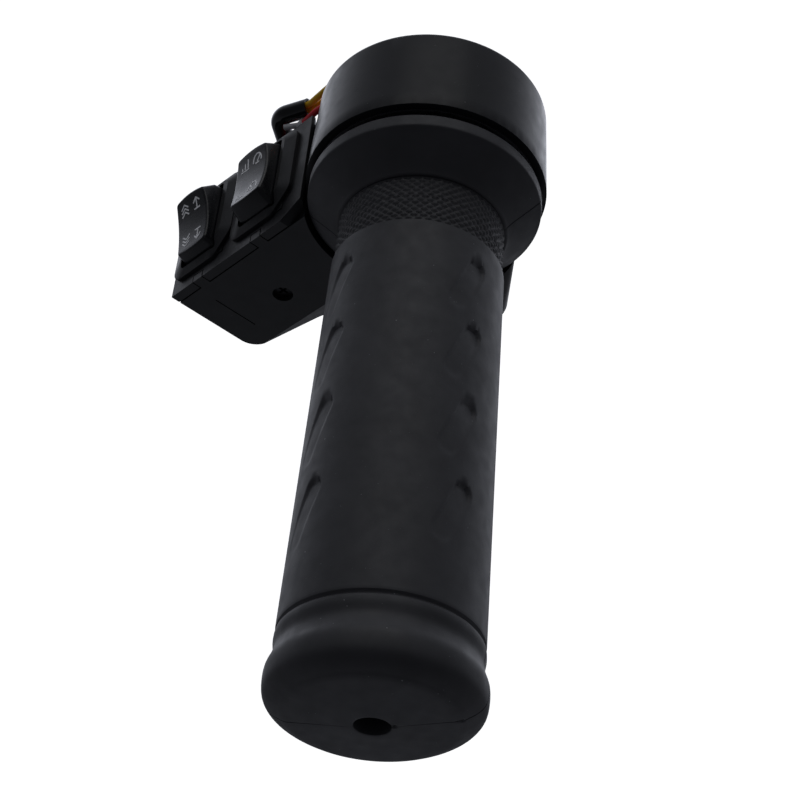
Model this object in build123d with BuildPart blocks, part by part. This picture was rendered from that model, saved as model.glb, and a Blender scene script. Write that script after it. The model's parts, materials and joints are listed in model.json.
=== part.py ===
"""Twist throttle for a 22.2 mm handlebar, with a pod that carries two rocker switches.

Millimetres. The handlebar's axis is Y and +Y points inboard, towards the middle of the bar.
+Z is up and +X is forward. The origin is on the bar's axis, in the plane of the drum's inboard
face, where the clamp screw grips the bar. Everything outboard of the drum is at negative Y.

The pod is drawn in its own pair of directions across the bar: E1 runs along the switch face,
towards the bar, and E2 points out of it, up and back towards the rider.
"""

import os
from math import cos, pi, radians, sin, sqrt, tan

from build123d import *

os.makedirs("parts", exist_ok=True)

# ---------------------------------------------------------------- driving dimensions
BAR_R = 11.1                    # a 7/8 inch handlebar
CLAMP_R = BAR_R + 0.1           # bore of the drum's hub
ROTOR_R = BAR_R + 0.3           # bore of the twisting tube

DRUM_R = (24.4, 25.2)           # at the inboard face and, with the mould's draft, outboard
DRUM_DEPTH = 21.8
DRUM_INSIDE_R = 23.5
DRUM_BACK = 2.5                 # thickness of the drum's inboard wall
DRUM_EDGE = 1.4                 # rounding of the drum's inboard edge
HUB_R = 14.5
HUB_DEPTH = 8.0

TUBE_R = 13.6                   # outside of the twisting tube
TUBE_END_Y = -141.5
TWIST = 75.0                    # degrees from closed to full throttle

FLANGE_R = 24.3
FLANGE_BACK_Y = -23.9
FLANGE_FRONT_Y = -27.1
CONE_END_Y = -33.6
CONE_END_R = 17.6
KNURL_R = 16.9
GRIP_START_Y = -45.5
GRIP_START_R = 17.45
GROOVE_Y = -129.3
GRIP_END_R = 18.5
FLARE_R = 19.5
END_FACE_Y = -145.0
END_HOLE_R = 3.24

POD_TILT = 50.0                 # degrees of E1 above +X
POD_FRONT_Y = -28.0
POD_BACK_Y = -0.5
POD_EDGE = -62.0                # E1 of the pod's far side
POD_INNER_EDGE = -18.5          # E1 of the cover's side next to the drum
POD_WALL = 2.0
BODY_TOP = 16.0                 # E2 of the parting plane between body and cover
COVER_TOP = 18.5
RIDGE_TOP = 19.3                # outer ridge of a bezel
RIM_TOP = 20.3                  # inner rim of a bezel
DRUM_GUARD_R = 26.8             # inside face of the pod's wall round the drum

SWITCH_E1 = (-52.1, -31.8)      # centres of the two switches
SWITCH_Y = -13.5
OPENING = (11.7, 19.0)          # a bezel's opening, along E1 and Y
SKIRT = (14.7, 21.6)
SKIRT_END = 12.0                # E2 of the skirt's lower edge
PIVOT = 18.8                    # E2 of the rockers' pivots
ROCK = 12.3                     # degrees each way from the rocker's middle position
REST_TILT = (ROCK, 0.0)         # switch 1 rests with its outboard end down, switch 2 in the middle
BLADE_RATIO = 0.65              # contact blade's tilt for each degree of rocker

SCREW_STATION = -4.6            # Y of the clamp screw and of the screws that hold the pod
LOOSE = 0.1                     # clearance between parts that are only set together
PIN_FIT = 0.05                  # radial clearance of a running fit

# ---------------------------------------------------------------- directions and planes
C, S = cos(radians(POD_TILT)), sin(radians(POD_TILT))
E1 = Vector(C, 0, S)
E2 = Vector(-S, 0, C)
INBOARD = Vector(0, 1, 0)


def at(e1, e2, y):
    """A point given in the pod's directions."""
    return E1 * e1 + E2 * e2 + INBOARD * y


def pod(x, z):
    """The pod's (E1, E2) of a point (X, Z) across the bar."""
    return (x * C + z * S, -x * S + z * C)


def across_bar(y):
    """Plane across the bar: local x is +X, local y is +Z, and it faces outboard."""
    return Plane(origin=(0, y, 0), x_dir=(1, 0, 0), z_dir=(0, -1, 0))


def across_pod(y):
    """Plane across the bar: local x is E1, local y is E2, and it faces outboard."""
    return Plane(origin=(0, y, 0), x_dir=E1, z_dir=(0, -1, 0))


def over_pod(e2):
    """Plane level with the switch face: local x is E1, local y is +Y, and it faces out."""
    return Plane(origin=E2 * e2, x_dir=E1, z_dir=E2)


def beside_pod(e1):
    """Plane across the switch face: local x is +Y, local y is E2, and it faces along E1."""
    return Plane(origin=E1 * e1, x_dir=INBOARD, z_dir=E1)


def beside_switch(number, tilt=0.0):
    """Plane through a switch's middle: local x is +Y and local y is E2, turned by tilt
    degrees about the pivot so that a positive tilt lowers the outboard end."""
    a = radians(tilt)
    x_dir = INBOARD * cos(a) + E2 * sin(a)
    return Plane(origin=at(SWITCH_E1[number], PIVOT, SWITCH_Y), x_dir=x_dir, z_dir=E1)


def polar(r, angle):
    """(X, Z) of a point at radius r, angle degrees from +X towards +Z."""
    return (r * cos(radians(angle)), r * sin(radians(angle)))


def drum_r(y):
    """Outside radius of the drum at y."""
    return DRUM_R[0] - (DRUM_R[1] - DRUM_R[0]) * y / DRUM_DEPTH


def sector(r_in, r_out, start, end):
    """The corners and arcs of a ring sector, for use inside a BuildLine."""
    middle = (start + end) / 2
    Line(polar(r_in, start), polar(r_out, start))
    ThreePointArc(polar(r_out, start), polar(r_out, middle), polar(r_out, end))
    Line(polar(r_out, end), polar(r_in, end))
    ThreePointArc(polar(r_in, end), polar(r_in, middle), polar(r_in, start))


pieces = {}

# ---------------------------------------------------------------- twisting parts
DISC_R = 22.3
DISC_Y = (-19.2, -16.7)
TUBE_START_Y = -8.9
LUG_ANGLE = 215.0
LUG_HALF = 5.0
LUG_R = (19.5, 22.0)
LUG_DEPTH = 4.0
MAGNET_R = (18.0, 22.0)
MAGNET_ANGLES = (5.0, 100.0)
MAGNET_DEPTH = 3.2
SPRING_R = 15.4
SPRING_WIRE_R = 0.55
SPRING_Y = (-15.6, -9.9)
SPRING_TURNS = 3.625
SPRING_LEG_SHARE = 0.005        # how far along the coil its legs stand from its ends

# the spring's coil, whose two ends give the places of its legs
with BuildLine() as coil:
    Helix(
        (SPRING_Y[1] - SPRING_Y[0]) / SPRING_TURNS, SPRING_Y[1] - SPRING_Y[0], SPRING_R,
        center=(0, SPRING_Y[0], 0), direction=(0, 1, 0),
    )
coil_start, coil_end = coil.line @ SPRING_LEG_SHARE, coil.line @ (1 - SPRING_LEG_SHARE)
coil_path = coil.line

# tube that slides over the bar, with the disc that carries the magnet and the stop lug
with BuildPart() as rotor_tube:
    with BuildSketch(Plane.XY):
        with BuildLine():
            Polyline(
                (ROTOR_R, TUBE_START_Y), (TUBE_R, TUBE_START_Y), (TUBE_R, DISC_Y[1]),
                (DISC_R, DISC_Y[1]), (DISC_R, DISC_Y[0]), (TUBE_R, DISC_Y[0]),
                (TUBE_R, TUBE_END_Y), (ROTOR_R, TUBE_END_Y), close=True,
            )
        make_face()
    revolve(axis=Axis.Y)
    with BuildSketch(across_bar(DISC_Y[1] + LUG_DEPTH)):
        with BuildLine():
            sector(*LUG_R, LUG_ANGLE - LUG_HALF, LUG_ANGLE + LUG_HALF)
        make_face()
    extrude(amount=LUG_DEPTH + 1)
    with BuildSketch(across_bar(DISC_Y[1] + 0.1)):
        with Locations((coil_start.X, coil_start.Z)):
            Circle(SPRING_WIRE_R + 0.25)
    extrude(amount=DISC_Y[1] - DISC_Y[0] + 0.2, mode=Mode.SUBTRACT)
pieces["rotor_tube"] = rotor_tube

# curved magnet on the disc's inboard face
with BuildPart() as sensor_magnet:
    with BuildSketch(across_bar(DISC_Y[1] + MAGNET_DEPTH)):
        with BuildLine():
            sector(*MAGNET_R, *MAGNET_ANGLES)
        make_face()
    extrude(amount=MAGNET_DEPTH)
pieces["sensor_magnet"] = sensor_magnet

# rubber sleeve: flange, cone, knurled band, tapering body, flared end with its vent hole
STEP_R = 22.4
STEP_Y = -22.3
SLEEVE_BORE_R = TUBE_R + 0.05
with BuildPart() as rubber_grip:
    with BuildSketch(Plane.XY):
        with BuildLine():
            Polyline(
                (SLEEVE_BORE_R, TUBE_END_Y - 0.2), (SLEEVE_BORE_R, STEP_Y), (STEP_R, STEP_Y),
                (STEP_R, FLANGE_BACK_Y), (FLANGE_R, FLANGE_BACK_Y), (FLANGE_R, FLANGE_FRONT_Y),
                (CONE_END_R + 0.5, CONE_END_Y + 0.7), (CONE_END_R, CONE_END_Y),
                (KNURL_R, CONE_END_Y - 0.2), (KNURL_R, GRIP_START_Y + 0.1),
                (GRIP_START_R, GRIP_START_Y), (GRIP_END_R - 0.05, GROOVE_Y),
                (GRIP_END_R - 0.5, GROOVE_Y - 0.3), (GRIP_END_R, GROOVE_Y - 0.7),
                (GRIP_END_R + 0.05, -133.6),
            )
            Spline(
                (GRIP_END_R + 0.05, -133.6), (FLARE_R - 0.35, -136.6), (FLARE_R, -139.3),
                (FLARE_R - 1.0, -141.9), (15.8, -143.4),
                tangents=[(0, -1), (-1, -0.35)],
            )
            Polyline((15.8, -143.4), (9.5, -144.6), (END_HOLE_R, END_FACE_Y))
            Polyline(
                (END_HOLE_R, END_FACE_Y), (END_HOLE_R, TUBE_END_Y - 0.2),
                (SLEEVE_BORE_R, TUBE_END_Y - 0.2),
            )
        make_face()
    revolve(axis=Axis.Y)
pieces["rubber_grip"] = rubber_grip

# ---------------------------------------------------------------- drum housing and its inside
CLIP_Y = (-21.6, -20.8)
CLIP_R = (21.9, 24.0)
CLIP_GAP = 26.0                 # degrees of the snap ring's opening
RETAINER_Y = (-20.7, -19.5)
STOP_R = (19.8, 24.2)
STOP_Y = (-16.3, -12.2)
STOP_WIDTH = 10.0
STOP_ROOM = 1.0                 # degrees between the lug and a stop at each end of the travel
CLAMP_BOSS = (11.0, 12.4)       # width along X and height along Z
CLAMP_SCREW_R = 3.0
POD_SCREW_X = 13.0
POD_SCREW_R = 2.0
POD_SCREW_HEAD_R = 3.2
BOARD = (16.0, 6.0, 1.2)
BOARD_Z = 18.2
BOARD_Y = -4.0                  # inboard face of the sensor board
BOARD_SCREW_X = 6.0
BOARD_SCREW_R = 0.85
DRUM_GROMMET = (-16.4, 4.0)
DRUM_GROMMET_R = 3.4

# the two bosses that take the pod's screws, kept inside the drum's wall
with BuildPart() as screw_bosses:
    with BuildSketch(Plane.XY.offset(-13.5)):
        with Locations((-POD_SCREW_X, SCREW_STATION), (POD_SCREW_X, SCREW_STATION)):
            Circle(3.8)
    extrude(amount=-11)
    with BuildSketch(across_bar(0)):
        Circle(DRUM_R[0] - 0.5)
    extrude(amount=HUB_DEPTH + 1, mode=Mode.INTERSECT)

with BuildPart() as drum_housing:
    edge_r = drum_r(-DRUM_EDGE)
    with BuildSketch(Plane.XY):
        with BuildLine():
            Polyline(
                (edge_r, -DRUM_EDGE), (DRUM_R[1], -DRUM_DEPTH), (DRUM_INSIDE_R, -DRUM_DEPTH),
                (DRUM_INSIDE_R, -DRUM_BACK), (HUB_R, -DRUM_BACK), (HUB_R, -HUB_DEPTH),
                (CLAMP_R, -HUB_DEPTH), (CLAMP_R, 0), (edge_r - DRUM_EDGE, 0),
            )
            TangentArc(
                (edge_r, -DRUM_EDGE), (edge_r - DRUM_EDGE, 0), tangent=(0, 1),
            )
        make_face()
    revolve(axis=Axis.Y)
    add(screw_bosses.part)
    with BuildSketch(across_bar(-DRUM_EDGE)):
        with Locations((0, -HUB_R + 3.5 - CLAMP_BOSS[1] / 2)):
            Rectangle(*CLAMP_BOSS)
    extrude(amount=HUB_DEPTH - DRUM_EDGE)
    with BuildSketch(across_bar(0)):
        Circle(CLAMP_R)
    extrude(amount=HUB_DEPTH, mode=Mode.SUBTRACT)
    # stops for the lug at each end of the twist
    rest_stop = LUG_ANGLE - LUG_HALF - STOP_ROOM
    full_stop = LUG_ANGLE + LUG_HALF + TWIST + STOP_ROOM
    with BuildSketch(across_bar(STOP_Y[1])):
        for start in (rest_stop - STOP_WIDTH, full_stop):
            with BuildLine():
                sector(*STOP_R, start, start + STOP_WIDTH)
            make_face()
    extrude(amount=STOP_Y[1] - STOP_Y[0])
    # posts for the sensor board
    with BuildSketch(across_bar(-DRUM_BACK + 0.5)):
        with Locations((-BOARD_SCREW_X, BOARD_Z), (BOARD_SCREW_X, BOARD_Z)):
            Circle(1.7)
    extrude(amount=-BOARD_Y - DRUM_BACK + 0.5)
    with BuildSketch(across_bar(-1.0)):
        with Locations((-BOARD_SCREW_X, BOARD_Z), (BOARD_SCREW_X, BOARD_Z)):
            Circle(BOARD_SCREW_R + 0.03)
    extrude(amount=5, mode=Mode.SUBTRACT)
    # groove for the snap ring
    with BuildSketch(across_bar(CLIP_Y[1] + 0.05)):
        Circle(CLIP_R[1] + 0.1)
        Circle(DRUM_INSIDE_R - 1, mode=Mode.SUBTRACT)
    extrude(amount=CLIP_Y[1] - CLIP_Y[0] + 0.1, mode=Mode.SUBTRACT)
    # hole for the wires' grommet and for the spring's fixed leg
    with BuildSketch(across_bar(1)):
        with Locations(DRUM_GROMMET):
            Circle(DRUM_GROMMET_R)
    extrude(amount=DRUM_BACK + 2, mode=Mode.SUBTRACT)
    with BuildSketch(across_bar(-1.2)):
        with Locations((coil_end.X, coil_end.Z)):
            Circle(SPRING_WIRE_R + 0.1)
    extrude(amount=HUB_DEPTH, mode=Mode.SUBTRACT)
    # clamp screw and pod screws, from below
    with BuildSketch(Plane.XY.offset(-10)):
        with Locations((0, SCREW_STATION)):
            Circle(CLAMP_SCREW_R + LOOSE / 2)
    extrude(amount=-20, mode=Mode.SUBTRACT)
    with BuildSketch(Plane.XY.offset(-14.5)):
        with Locations((-POD_SCREW_X, SCREW_STATION), (POD_SCREW_X, SCREW_STATION)):
            Circle(POD_SCREW_R + LOOSE / 2)
    extrude(amount=-15, mode=Mode.SUBTRACT)
pieces["drum_housing"] = drum_housing

# ring that keeps the rotor's disc in the drum, and the snap ring in front of it
with BuildPart() as rotor_retainer:
    with BuildSketch(across_bar(RETAINER_Y[1])):
        Circle(DRUM_INSIDE_R - 0.1)
        Circle(TUBE_R + 0.7, mode=Mode.SUBTRACT)
    extrude(amount=RETAINER_Y[1] - RETAINER_Y[0])
pieces["rotor_retainer"] = rotor_retainer

with BuildPart() as snap_ring:
    with BuildSketch(across_bar(CLIP_Y[1])):
        with BuildLine():
            sector(*CLIP_R, 270 + CLIP_GAP / 2, 630 - CLIP_GAP / 2)
        make_face()
        for side in (-1, 1):
            with Locations(polar(CLIP_R[0] + 0.1, 270 + side * (CLIP_GAP / 2 + 3))):
                Circle(1.4)
        for side in (-1, 1):
            with Locations(polar(CLIP_R[0] + 0.1, 270 + side * (CLIP_GAP / 2 + 3))):
                Circle(0.6, mode=Mode.SUBTRACT)
    extrude(amount=CLIP_Y[1] - CLIP_Y[0])
pieces["snap_ring"] = snap_ring

with BuildPart() as thrust_washer:
    with BuildSketch(across_bar(-HUB_DEPTH - LOOSE)):
        Circle(HUB_R - 0.2)
        Circle(ROTOR_R + 0.1, mode=Mode.SUBTRACT)
    extrude(amount=0.7)
pieces["thrust_washer"] = thrust_washer

# torsion spring round the tube: one leg in the disc, the other in the drum's back
with BuildPart() as return_spring:
    with BuildLine():
        add(coil_path)
    with BuildSketch(Plane(origin=coil_path @ 0, z_dir=coil_path % 0)):
        Circle(SPRING_WIRE_R)
    sweep(is_frenet=True)
    for foot, leg_end in ((coil_start, -17.6), (coil_end, -1.6)):
        with BuildSketch(Plane(origin=(foot.X, leg_end, foot.Z), z_dir=(0, 1, 0))):
            Circle(SPRING_WIRE_R)
        extrude(amount=foot.Y - leg_end)
pieces["return_spring"] = return_spring

# sensor board, its screws and the Hall sensor that faces the magnet
with BuildPart() as sensor_board:
    with BuildSketch(across_bar(BOARD_Y)):
        with Locations((0, BOARD_Z)):
            RectangleRounded(BOARD[0], BOARD[1], 1.0)
        with Locations((-BOARD_SCREW_X, BOARD_Z), (BOARD_SCREW_X, BOARD_Z)):
            Circle(BOARD_SCREW_R + 0.1, mode=Mode.SUBTRACT)
    extrude(amount=BOARD[2])
pieces["sensor_board"] = sensor_board

with BuildPart() as board_screws:
    with BuildSketch(across_bar(BOARD_Y - BOARD[2])):
        with Locations((-BOARD_SCREW_X, BOARD_Z), (BOARD_SCREW_X, BOARD_Z)):
            Circle(1.5)
    extrude(amount=1.0)
    with BuildSketch(across_bar(-1.3)):
        with Locations((-BOARD_SCREW_X, BOARD_Z), (BOARD_SCREW_X, BOARD_Z)):
            Circle(BOARD_SCREW_R)
    extrude(amount=-1.3 - BOARD_Y + BOARD[2])
pieces["board_screws"] = board_screws

with BuildPart() as hall_sensor:
    sensor_back = -10.8
    with BuildSketch(across_bar(sensor_back)):
        with Locations((0, BOARD_Z + 1.3)):
            Rectangle(4.2, 3.2)
    extrude(amount=1.5)
    with BuildSketch(across_bar(BOARD_Y - BOARD[2])):
        with Locations((-1.27, BOARD_Z + 1.3), (0, BOARD_Z + 1.3), (1.27, BOARD_Z + 1.3)):
            Rectangle(0.45, 0.45)
    extrude(amount=BOARD_Y - BOARD[2] - sensor_back)
pieces["hall_sensor"] = hall_sensor

# ---------------------------------------------------------------- pod body and cover
CAP_SCREW_Z = -31.0             # seat of the pod screws' heads in the saddle
COVER_SCREW = (-42.2, 2.6)      # E1, E2
COVER_SCREW_HEAD_R = 2.3
TONGUES = (-52.7, -32.7)        # E1 of the two catches in the front edge
TONGUE_WIDTH = 3.0
TONGUE_DEPTH = 1.8
TONGUE_GAP = 0.25               # round each catch
REVEAL = (0.3, 0.35)            # height and depth of the shadow line under the cover
JACKET_EXIT = pod(-31.0, -24.0)
RED_EXIT = pod(-32.2, -17.3)
LEAD_EXIT = (-52.0, 1.5)
GROMMET_R = 3.2
RED_GROMMET_R = 1.6
GLAND_R = 3.6

BEVEL_E1 = (-40.0, -24.0)       # where the bevel under the front face fades out

LOWER_CORNER_R = 4.5
SADDLE_CORNER_R = 6.0
SADDLE_X = 20.5                 # the saddle's side away from the rider
SADDLE_FRONT_R = 4.0
lower_corner = (POD_EDGE, -5.0)
saddle_corner = pod(-20.8, -40.5)
y0, z0 = POD_FRONT_Y - 1, -4.5
bevel_section = [(y0, z0), (y0, -18), (-19.5, -18)]
body_outline = [
    (POD_EDGE, BODY_TOP), lower_corner, saddle_corner, pod(SADDLE_X - 4, -35.0),
    pod(SADDLE_X, -31.0), pod(SADDLE_X, -13.5), (POD_INNER_EDGE, BODY_TOP),
]

with BuildPart() as pod_body:
    with BuildSketch(across_pod(POD_BACK_Y)) as outline:
        with BuildLine():
            Polyline(*body_outline, close=True)
        make_face()
        fillet(outline.vertices().sort_by_distance((*lower_corner, 0))[0], LOWER_CORNER_R)
        fillet(outline.vertices().sort_by_distance((*saddle_corner, 0))[0], SADDLE_CORNER_R)
    extrude(amount=POD_BACK_Y - POD_FRONT_Y)
    # bevel under the front face, which runs out beside the saddle
    with BuildSketch(beside_pod(-66.0)):
        with BuildLine():
            Polyline(*bevel_section, close=True)
        make_face()
    extrude(amount=BEVEL_E1[0] + 66.0, mode=Mode.SUBTRACT)
    for e1, share in zip(BEVEL_E1, (1.0, 0.1)):
        with BuildSketch(beside_pod(e1)):
            with BuildLine():
                Polyline(*[(y0 + (y - y0) * share, z0 + (z - z0) * share)
                           for y, z in bevel_section], close=True)
            make_face()
    loft(mode=Mode.SUBTRACT)
    # the room inside, open towards the cover
    with BuildSketch(across_pod(POD_BACK_Y - POD_WALL)):
        with BuildLine():
            Polyline(
                (POD_EDGE + POD_WALL, BODY_TOP + 1), (POD_EDGE + POD_WALL, -3.0),
                (-24.5, -3.0), (-21.0, BODY_TOP + 1), close=True,
            )
        make_face()
        Circle(DRUM_GUARD_R, mode=Mode.SUBTRACT)
    extrude(amount=POD_BACK_Y - POD_FRONT_Y - 2 * POD_WALL, mode=Mode.SUBTRACT)
    # boss behind the cover screw, and the two catches
    with BuildSketch(across_pod(POD_FRONT_Y + POD_WALL + 2.3)):
        with Locations(COVER_SCREW):
            Circle(3.6)
    extrude(amount=2.5)
    with BuildSketch(over_pod(BODY_TOP)):
        for e1 in TONGUES:
            with Locations((e1, POD_FRONT_Y + TONGUE_DEPTH / 2)):
                Rectangle(TONGUE_WIDTH, TONGUE_DEPTH)
    extrude(amount=COVER_TOP - BODY_TOP)
    # the drum's seat, and the rim round the grip's flange in front of it
    with BuildSketch(Plane.XY):
        with BuildLine():
            Polyline(
                (0, 1), (drum_r(1) + PIN_FIT, 1), (DRUM_R[1] + PIN_FIT, -DRUM_DEPTH),
                (0, -DRUM_DEPTH), close=True,
            )
        make_face()
    revolve(axis=Axis.Y, mode=Mode.SUBTRACT)
    with BuildSketch(across_bar(-DRUM_DEPTH + 1)):
        Circle(FLANGE_R + 0.8)
    extrude(amount=10, mode=Mode.SUBTRACT)
    # counterbored hole for the cover screw, and the mould line beside the far edge
    with BuildSketch(across_pod(0)):
        with Locations(COVER_SCREW):
            Circle(1.6)
    extrude(amount=-POD_FRONT_Y + 1, mode=Mode.SUBTRACT)
    with BuildSketch(across_pod(POD_FRONT_Y + 2.9)):
        with Locations(COVER_SCREW):
            Circle(COVER_SCREW_HEAD_R)
    extrude(amount=4, mode=Mode.SUBTRACT)
    with BuildSketch(across_pod(POD_FRONT_Y + 0.2)):
        with Locations((-55.1, 5.6)):
            Rectangle(0.3, 11.4)
    extrude(amount=1, mode=Mode.SUBTRACT)
    # wire exits in the back wall
    with BuildSketch(across_pod(POD_BACK_Y + 1)):
        with Locations(JACKET_EXIT):
            Circle(GROMMET_R)
        with Locations(RED_EXIT):
            Circle(RED_GROMMET_R)
        with Locations(LEAD_EXIT):
            Circle(GLAND_R)
    extrude(amount=POD_WALL + 2, mode=Mode.SUBTRACT)
    # screws from below: the clamp screw's access hole and two counterbored holes
    with BuildSketch(Plane.XY.offset(-18)):
        with Locations((0, SCREW_STATION)):
            Circle(CLAMP_SCREW_R + 0.5)
        with Locations((-POD_SCREW_X, SCREW_STATION), (POD_SCREW_X, SCREW_STATION)):
            Circle(POD_SCREW_R + 0.2)
    extrude(amount=-27, mode=Mode.SUBTRACT)
    with BuildSketch(Plane.XY.offset(CAP_SCREW_Z)):
        with Locations((-POD_SCREW_X, SCREW_STATION), (POD_SCREW_X, SCREW_STATION)):
            Circle(POD_SCREW_HEAD_R + 0.2)
    extrude(amount=-15, mode=Mode.SUBTRACT)
    # the saddle's big rounding in front, on the side away from the rider
    upright = pod_body.edges().filter_by(Axis.Z)
    fillet(upright.sort_by_distance((SADDLE_X, POD_FRONT_Y, -22.0))[0], SADDLE_FRONT_R)
pieces["pod_body"] = pod_body

LEG_E1 = (-44.4, -39.4)
LEG_Y = (-23.5, -17.0)
COVER_CORNER = (5.9, 2.9)       # cut corner next to the grip's flange, along E1 and Y
with BuildPart() as pod_cover:
    with BuildSketch(over_pod(BODY_TOP)):
        with BuildLine():
            Polyline(
                (POD_EDGE, POD_BACK_Y), (POD_EDGE, POD_FRONT_Y),
                (POD_INNER_EDGE - COVER_CORNER[0], POD_FRONT_Y),
                (POD_INNER_EDGE, POD_FRONT_Y + COVER_CORNER[1]), (POD_INNER_EDGE, POD_BACK_Y),
                close=True,
            )
        make_face()
        for e1 in SWITCH_E1:
            with Locations((e1, SWITCH_Y)):
                Rectangle(SKIRT[0] + 0.3, SKIRT[1] + 0.3, mode=Mode.SUBTRACT)
        for e1 in TONGUES:
            with Locations((e1, POD_FRONT_Y + TONGUE_DEPTH / 2)):
                Rectangle(
                    TONGUE_WIDTH + 2 * TONGUE_GAP, TONGUE_DEPTH + 2 * TONGUE_GAP,
                    mode=Mode.SUBTRACT,
                )
    extrude(amount=COVER_TOP - BODY_TOP)
    # shadow line along the front edge of its underside
    with BuildSketch(over_pod(BODY_TOP)):
        with Locations(((POD_EDGE + POD_INNER_EDGE) / 2, POD_FRONT_Y)):
            Rectangle(POD_INNER_EDGE - POD_EDGE + 2, 2 * REVEAL[1])
    extrude(amount=REVEAL[0], mode=Mode.SUBTRACT)
    # leg that the cover screw bites into
    with BuildSketch(over_pod(BODY_TOP + 0.5)):
        with Locations(((LEG_E1[0] + LEG_E1[1]) / 2, (LEG_Y[0] + LEG_Y[1]) / 2)):
            Rectangle(LEG_E1[1] - LEG_E1[0], LEG_Y[1] - LEG_Y[0])
    extrude(amount=-BODY_TOP - 1.2)
    with BuildSketch(across_pod(LEG_Y[1])):
        with Locations(COVER_SCREW):
            Circle(1.5)
    extrude(amount=10, mode=Mode.SUBTRACT)
    with BuildSketch(across_bar(POD_BACK_Y + 1)):
        Circle(DRUM_R[1] + 0.35)
    extrude(amount=40, mode=Mode.SUBTRACT)
pieces["pod_cover"] = pod_cover

# ---------------------------------------------------------------- rocker switches
BEZEL_Y = (-24.9, -1.7)
BEZEL_SLOPE = 2.9               # width of a bezel's slope, on all sides but the inboard one
BEZEL_BACK_SLOPE = 1.7
BEZEL_HALF = 9.75
BEZEL_E1 = (-51.6, -31.8)
BEZEL_CUT = 5.0                 # cut corner on the outboard side, next to the drum
PIN_R = 1.0
# the rocker's outline at the rim and above its crests: half length and width, how far
# the ends and sides bow out, and the height above the pivot
ROCKER_BASE = (9.0, 5.5, 0.3, 0.15, 1.5)
ROCKER_TOP = (6.9, 5.2, 0.9, 0.65, 6.3)
ROCKER_CORNER_R = 1.2
ROCKER_EDGE_R = 0.6
ROCKER_DISH = (9.3, 5.7, 4.2)   # half length, height of the ends and of the middle
ROCKER_FOOT = (8.55, -3.0)
STEM_R = 2.3
STEM_END = -6.8
STEM_BORE_R = 1.55
PLUNGER_R = 1.45
PLUNGER_TIP = -8.9
CASE_TOP = SKIRT_END
CASE_FLOOR = 3.5
CASE_HALF = (4.6, 10.8)
CASE_ROOM = (3.4, 9.4)
BLADE_WIDTH = 3.4
TERMINAL_END = -1.6


def bezel_corners(e1, inset, back_inset):
    """Corners of a bezel's outline, moved inwards by the insets, the cut one first."""
    left, right = e1 - BEZEL_HALF + inset, e1 + BEZEL_HALF - inset
    near, far = BEZEL_Y[0] + inset, BEZEL_Y[1] - back_inset
    cut = BEZEL_CUT - 0.6 * inset
    return [(right, near + cut), (right, far), (left, far), (left, near), (right - cut, near)]


def above_pivot(plane, height):
    """Plane across a rocker's up direction: local x is along the rocker's length."""
    return Plane(origin=plane.origin + plane.y_dir * height, x_dir=plane.x_dir, z_dir=plane.y_dir)


def bowed_outline(half_length, half_width, end_bow, side_bow):
    """A rectangle whose ends and sides bow out, for use inside a BuildLine."""
    x, y = half_length - end_bow, half_width - side_bow
    ThreePointArc((x, -y), (half_length, 0), (x, y))
    ThreePointArc((x, y), (0, half_width), (-x, y))
    ThreePointArc((-x, y), (-half_length, 0), (-x, -y))
    ThreePointArc((-x, -y), (0, -half_width), (x, -y))


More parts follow.
